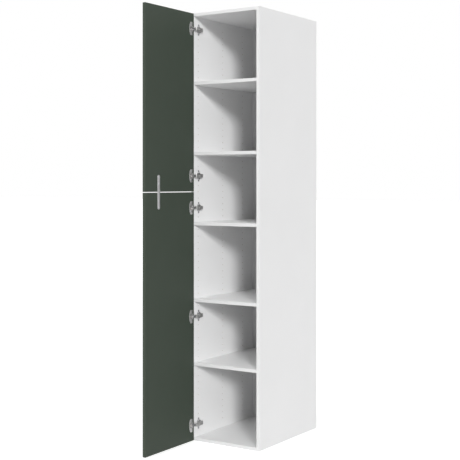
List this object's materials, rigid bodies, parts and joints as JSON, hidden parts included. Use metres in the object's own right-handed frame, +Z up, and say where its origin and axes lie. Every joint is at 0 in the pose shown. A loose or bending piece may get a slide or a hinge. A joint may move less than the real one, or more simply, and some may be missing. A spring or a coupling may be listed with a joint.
{
  "type": "tall kitchen cabinet",
  "caption": "Tall open white kitchen cabinet with shelves and dark green slab doors on concealed hinges, joined by a coupling plate so that they swing together.",
  "frame": {"origin": "middle of the carcass underside", "axes": "+X to the right seen from the front, +Y to the back, +Z up; the front faces -Y"},
  "size_m": [0.4, 0.9762, 2.144],
  "materials": {
    "white_board": "white melamine on particle board, fine matt grain",
    "white_back": "white painted fibreboard",
    "dowel_wood": "plain beech",
    "green_front": "dark grey-green lacquered front, matt",
    "nickel_steel": "nickel-plated pressed steel",
    "zinc_strip": "zinc-plated flat steel",
    "spring_steel": "blank spring steel"
  },
  "bodies": {
    "carcass": {"left_side_panel": "white_board", "right_side_panel": "white_board", "bottom_panel": "white_board", "top_panel": "white_board", "back_panel": "white_back", "corner_dowels": "dowel_wood", "shelf_1": "white_board", "shelf_2": "white_board", "shelf_3": "white_board", "shelf_4": "white_board", "shelf_5": "white_board", "shelf_pins": "nickel_steel", "hinge_1_plate": "nickel_steel", "hinge_2_plate": "nickel_steel", "hinge_3_plate": "nickel_steel", "hinge_4_plate": "nickel_steel", "hinge_5_plate": "nickel_steel", "hinge_1_arm": "nickel_steel", "hinge_2_arm": "nickel_steel", "hinge_3_arm": "nickel_steel", "hinge_4_arm": "nickel_steel", "hinge_5_arm": "nickel_steel", "closing_springs": "spring_steel", "plate_screws": "nickel_steel"},
    "outer_links": {"hinge_1_outer_link": "nickel_steel", "hinge_2_outer_link": "nickel_steel", "hinge_3_outer_link": "nickel_steel", "hinge_4_outer_link": "nickel_steel", "hinge_5_outer_link": "nickel_steel"},
    "doors": {"lower_door": "green_front", "upper_door": "green_front", "coupling_plate": "zinc_strip", "coupling_screws": "nickel_steel", "hinge_1_cup": "nickel_steel", "hinge_2_cup": "nickel_steel", "hinge_3_cup": "nickel_steel", "hinge_4_cup": "nickel_steel", "hinge_5_cup": "nickel_steel"},
    "inner_links": {"hinge_1_inner_link": "nickel_steel", "hinge_2_inner_link": "nickel_steel", "hinge_3_inner_link": "nickel_steel", "hinge_4_inner_link": "nickel_steel", "hinge_5_inner_link": "nickel_steel"}
  },
  "joints": [
    {"name": "outer_link_swing", "type": "hinge", "parent": "carcass", "child": "outer_links", "pos_m": [-0.1717, -0.2837, 1.072], "axis": [0, 0, 1], "range_deg": [-19.25, 1.15]},
    {"name": "door_swing", "type": "hinge", "parent": "outer_links", "child": "doors", "pos_m": [-0.18534, -0.30019, 1.072], "axis": [0, 0, 1], "range_deg": [-6.07, 109.17]},
    {"name": "inner_link_swing", "type": "hinge", "parent": "carcass", "child": "inner_links", "pos_m": [-0.1779, -0.2867, 1.072], "axis": [0, 0, 1], "range_deg": [-3.25, 0.25]}
  ],
  "couplings": [
    {"joint": "outer_link_swing", "follows": "door_swing", "ratio": -0.1756},
    {"joint": "inner_link_swing", "follows": "door_swing", "ratio": -0.029184}
  ]
}
